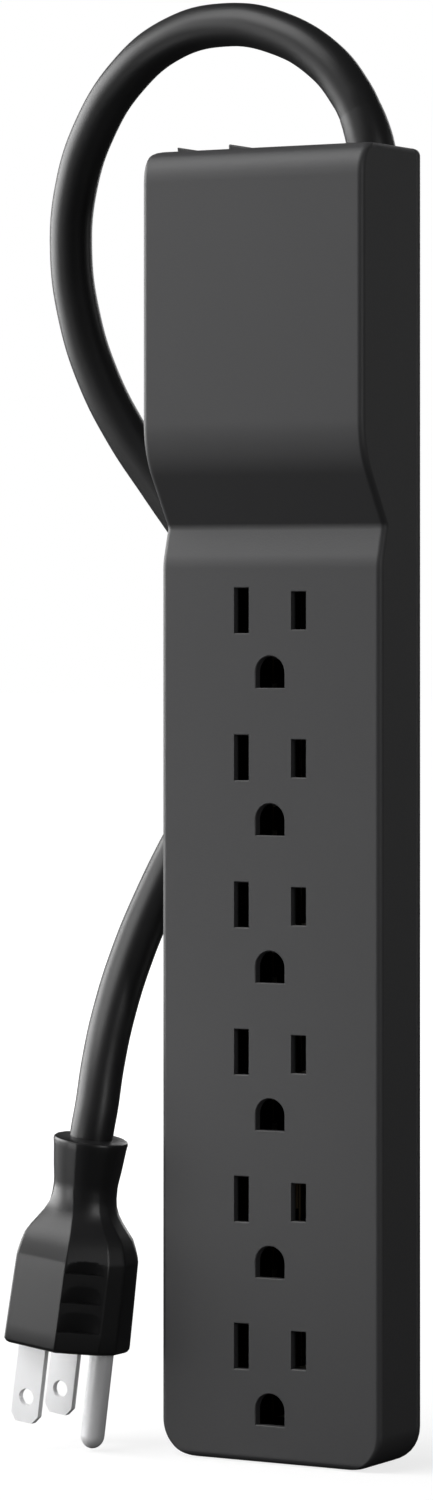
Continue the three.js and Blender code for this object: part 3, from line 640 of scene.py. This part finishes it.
def make_back_cover():
    slope = BACK_INSET / (BACK_Y - RIM_Y)
    far = BACK_Y - 1.4
    side = (far - RIM_Y) * slope
    # Insets and depths of the lip across the seam, the rim, the sloped sides and the rounded back edge.
    path = [(0.7, SEAM_Y - 0.1), (0.7, COVER_Y), (0.25, COVER_Y), (0, COVER_Y + 0.25),
            (0, RIM_Y - 0.8), (0.08, RIM_Y - 0.2), (0.35, RIM_Y + 0.35), (side, far),
            (side + 0.55, BACK_Y - 0.75), (BACK_INSET - 0.1, BACK_Y - 0.25),
            (BACK_INSET + 0.75, BACK_Y)]
    cover = loft("cover", [cover_ring(d, y) for d, y in path])
    inner = [(WALL, COVER_Y - 2), (WALL, RIM_Y), (WALL + BACK_INSET * 0.8, BACK_Y - WALL)]
    combined(cover, loft("hollow", [cover_ring(d, y) for d, y in inner]))
    recess = [(RECESS_RADIUS, CUT_FROM_Y), (RECESS_RADIUS, BACK_Y - 0.3), (3.6, BACK_Y + 0.1),
              (3.6, PAST_BACK_Y)]
    holes = [rod("Y", (x, z), recess) for x, z in COVER_SCREWS]
    holes += [bore(0, z, KEYHOLE_RADIUS, CUT_FROM_Y, PAST_BACK_Y) for z in KEYHOLES]
    combined(cover, united(holes))
    combined(cover, united([keyhole_neck(z) for z in KEYHOLES]))
    combined(cover, cord_hole())
    combined(cover, united([screw_cup(x, z) for x, z in COVER_SCREWS]), "UNION")
    finish_piece(cover, "shell_back", "cover", "housing", ["back_cover"])


def make_cover_screws():
    profile = [(1.1, 4.6), (1.2, 5.4), (1.2, 13.5), (2.6, 13.5), (2.8, 13.7), (2.75, 14.5),
               (2.4, 15.0), (1.8, 15.2)]
    arm, half = 1.5, 0.35
    depths = (14.3, 16)
    for i, (x, z) in enumerate(COVER_SCREWS):
        head = rod("Y", (x, z), profile)
        cross = combined(box(x - arm, x + arm, *depths, z - half, z + half),
                         box(x - half, x + half, *depths, z - arm, z + arm), "UNION")
        combined(head, cross)
        finish_piece(head, f"cover_screw_head_{i + 1}", "steel", "housing",
                     [f"cover_screw_{i + 1}"])


# ---- controls on the top end ----
def refined(node, name, look, body, width):
    """The CAD node's own shape with its edges rounded."""
    obj = bpy.data.objects.new(name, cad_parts[node].data.copy())
    bpy.context.scene.collection.objects.link(obj)
    work = bmesh.new()
    work.from_mesh(obj.data)
    bmesh.ops.remove_doubles(work, verts=work.verts, dist=1e-6)
    bmesh.ops.dissolve_limit(work, angle_limit=math.radians(2), verts=work.verts, edges=work.edges)
    work.to_mesh(obj.data)
    work.free()
    softened(obj, width)
    finish_piece(obj, name, look, body, [node])


# ---- strain relief, cord and plug ----
def bent_ring(along, radius):
    """A ring round the cord's axis at a length along it: up, then bent to the left."""
    sides = 40
    straight = EXIT[2] - RELIEF_FOOT_Z
    turn = max(along - straight, 0) / EXIT_BEND
    ring = []
    for i in range(sides):
        angle = 2 * math.pi * i / sides
        reach = EXIT_BEND + radius * math.cos(angle)
        x = EXIT[0] - EXIT_BEND + reach * math.cos(turn)
        z = EXIT[2] + min(along - straight, 0) + reach * math.sin(turn)
        ring.append((x, EXIT[1] + radius * math.sin(angle), z))
    return ring


def make_relief():
    # Lengths along the cord and radii.
    path = [(0, 4.6), (0.3, 4.9), (8.6, 4.9), (8.6, 5.4), (11.0, 5.4), (11.0, 4.7), (14.0, 4.68),
            (15.6, 4.64), (17.5, 4.56), (19.5, 4.45), (21.3, 4.35), (RELIEF_LENGTH, 4.33)]
    relief = loft("relief", [bent_ring(a, r) for a, r in path])
    finish_piece(relief, "relief_sleeve", "cord", "housing", ["strain_relief"], smooth=40)


def make_cord():
    data = bpy.data.curves.new("cord_line", "CURVE")
    data.dimensions = "3D"
    spline = data.splines.new("BEZIER")
    spline.bezier_points.add(len(CORD_ROUTE) - 1)
    for point, place in zip(spline.bezier_points, CORD_ROUTE):
        point.co = place
        point.handle_left_type = point.handle_right_type = "AUTO"
    data.bevel_depth = CORD_RADIUS
    data.bevel_resolution = 10
    data.resolution_u = 10
    data.use_fill_caps = True
    data.materials.append(LOOKS["cord"])
    cord = bpy.data.objects.new("cord_jacket_line", data)
    bpy.context.scene.collection.objects.link(cord)
    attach(cord, "housing")
    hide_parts("power_cord")


def grip_scallop(side, z):
    """A shallow thumb notch on the plug's slanted side: it fades upwards and ends in a ledge below."""
    half, tall, deepest = 4.3, 4.6, 1.3
    rows, columns = 6, 12
    start, end = Vector((7.9, side * 11.6)), Vector((14.2, side * 6.2))
    middle = (start + end) / 2
    across = (end - start).normalized()
    out = Vector((across.y, -across.x)) * (1 if side > 0 else -1)
    out = out if out.dot(middle) > 0 else -out
    rings = []
    for k in range(rows + 1):
        rise = k / rows
        depth = deepest * (1 - rise) ** 1.3 + 0.02
        ring = []
        for i in range(columns + 1):
            aside = 1 - i / (columns / 2)
            p = middle + across * (half * aside) - out * (depth * (1 - aside ** 2) - 0.01)
            ring.append((p.x, p.y, z + tall * rise))
        top = middle + out * 3
        ring.append((top.x - across.x * half, top.y - across.y * half, z + tall * rise))
        ring.append((top.x + across.x * half, top.y + across.y * half, z + tall * rise))
        rings.append(ring)
    return loft("scallop", rings, PLUG_FRAME)


# Corners of the grip's section at its face, as x, y and radius.
PLUG_SECTION = [(-4.1, -11.8, 0.9), (7.9, -11.8, 0.7), (14.6, -6.0, 1.6), (16.5, -2.6, 2.0),
                (16.5, 2.6, 2.0), (14.6, 6.0, 1.6), (7.9, 11.8, 0.7), (-4.1, 11.8, 0.9)]
# Height above the face, half thickness, left edge and right edge of the plug's grip.
PLUG_STATIONS = [(0, 11.8, -4.1, 16.5), (8, 11.5, -3.95, 16.45), (17.6, 11.15, -3.75, 16.35),
                 (18.6, 10.9, -3.7, 16.15), (22, 9.7, -3.45, 15.0), (25, 8.6, -3.15, 13.4),
                 (28, 7.45, -2.75, 11.7), (30.9, 6.35, -2.45, 10.25)]
PLUG_HEIGHTS = [0, 0.25, 0.8, 4, 8, 12, 15, 17.6, 18.1, 18.6, 20.3, 22, 23.5, 25, 26.5, 28, 29.5,
                30.9]
FACE_TUCK = 0.7  # how far the section is drawn in at the face
FACE_TUCK_HEIGHT = 0.8
ROUND_FROM = 21  # height where the section starts to turn round
ROUND_OVER = 9.9


def station(z):
    """Half thickness, left edge and right edge of the grip at a height."""
    for low, high in zip(PLUG_STATIONS, PLUG_STATIONS[1:]):
        if z <= high[0]:
            t = (z - low[0]) / (high[0] - low[0])
            return [a + (b - a) * t for a, b in zip(low[1:], high[1:])]
    return PLUG_STATIONS[-1][1:]


def plug_outline():
    """Points round the grip's section, with extra points along its straight sides."""
    count = len(PLUG_SECTION)
    corners = []
    for i, (x, y, radius) in enumerate(PLUG_SECTION):
        before, after = PLUG_SECTION[i - 1][:2], PLUG_SECTION[(i + 1) % count][:2]
        corners.append(corner_curve(before, (x, y), after, radius, 5))
    outline = []
    for i, corner in enumerate(corners):
        start, end = corner[-1], corners[(i + 1) % count][0]
        outline += corner + [start.lerp(end, t / 5) for t in range(1, 5)]
    return outline


def plug_ring(z):
    """The grip's faceted section at a height, turning round towards the neck."""
    half, left, right = station(z)
    tuck = FACE_TUCK * max(1 - z / FACE_TUCK_HEIGHT, 0) ** 2
    half, left, right = half - tuck, left + tuck, right - tuck
    blend = min(max((z - ROUND_FROM) / ROUND_OVER, 0), 1)
    blend = blend * blend * (3 - 2 * blend)
    ring = []
    for p in plug_outline():
        u = left + (p.x - GRIP_LEFT) / GRIP_WIDTH * (right - left)
        v = p.y / GRIP_HALF * half
        turn = math.atan2(v, u - NECK_X)
        around = (NECK_X + NECK_FOOT_RADIUS * math.cos(turn), NECK_FOOT_RADIUS * math.sin(turn))
        ring.append((u + (around[0] - u) * blend, v + (around[1] - v) * blend, z))
    return ring


def neck_ring(radius, z):
    """A round ring of the neck, its points in line with those of the grip's top ring."""
    turns = [math.atan2(y, x - NECK_X) for x, y, _ in plug_ring(PLUG_HEIGHTS[-1])]
    return [(NECK_X + radius * math.cos(t), radius * math.sin(t), z) for t in turns]


def make_plug():
    # Radii and heights of the neck, up to its rim and in to the cord.
    neck = [(6.33, 31.6), (6.42, 32.6), (6.75, 35), (7.2, 39.2), (7.38, 40.3), (7.25, 40.8),
            (6.9, 41.0), (4.6, 41.15)]
    rings = [plug_ring(z) for z in PLUG_HEIGHTS] + [neck_ring(r, z) for r, z in neck]
    plug = loft("plug", rings, PLUG_FRAME)
    for y in (-1, 1):
        combined(plug, united([grip_scallop(y, 4.2 + 5.8 * i) for i in range(3)]))
    finish_piece(plug, "plug_moulding", "plug", "housing", ["plug_body"], smooth=38)
    return plug


def make_prongs():
    made = []
    outline = [(-3.1, -14.4), (-1.9, -15.9), (1.9, -15.9), (3.1, -14.4), (3.1, POCKET), (-3.1, POCKET)]
    for side, label in ((-1, "neutral"), (1, "line")):
        y = side * SLOT_X
        blade = prism("blade", outline, "Y", y - BLADE_HALF_THICKNESS, y + BLADE_HALF_THICKNESS,
                      PLUG_FRAME)
        combined(blade, rod("Y", (0, -10.9), [(1.65, y - 2), (1.65, y + 2)], 32, PLUG_FRAME))
        softened(blade, 0.18)
        made.append(finish_piece(blade, f"prong_{label}", "nickel", "housing",
                                 [f"plug_blade_{label}"]))
    steps = 8
    dome = []
    for i in range(steps + 1):
        turn = math.pi / 2 * i / steps
        dome.append((PIN_RADIUS * math.sin(turn), -PIN_LENGTH + 2.6 * (1 - math.cos(turn))))
    dome[0] = (0.12, -PIN_LENGTH)
    pin = rod("Z", (GROUND_DROP, 0), dome + [(PIN_RADIUS, POCKET)], 40, PLUG_FRAME)
    made.append(finish_piece(pin, "prong_ground", "nickel", "housing", ["plug_ground_pin"]))
    return made


look_camera()
plug_pieces = [make_plug()] + make_prongs()
make_cord()
make_relief()
make_front_shell()
make_back_cover()
make_cover_screws()
refined("power_rocker", "rocker_cap", "control", "rocker", 0.25)
refined("reset_button", "reset_cap", "control", "reset", 0.3)
dress_cad_nodes()
lay_world()
place_lights()
lay_floor()
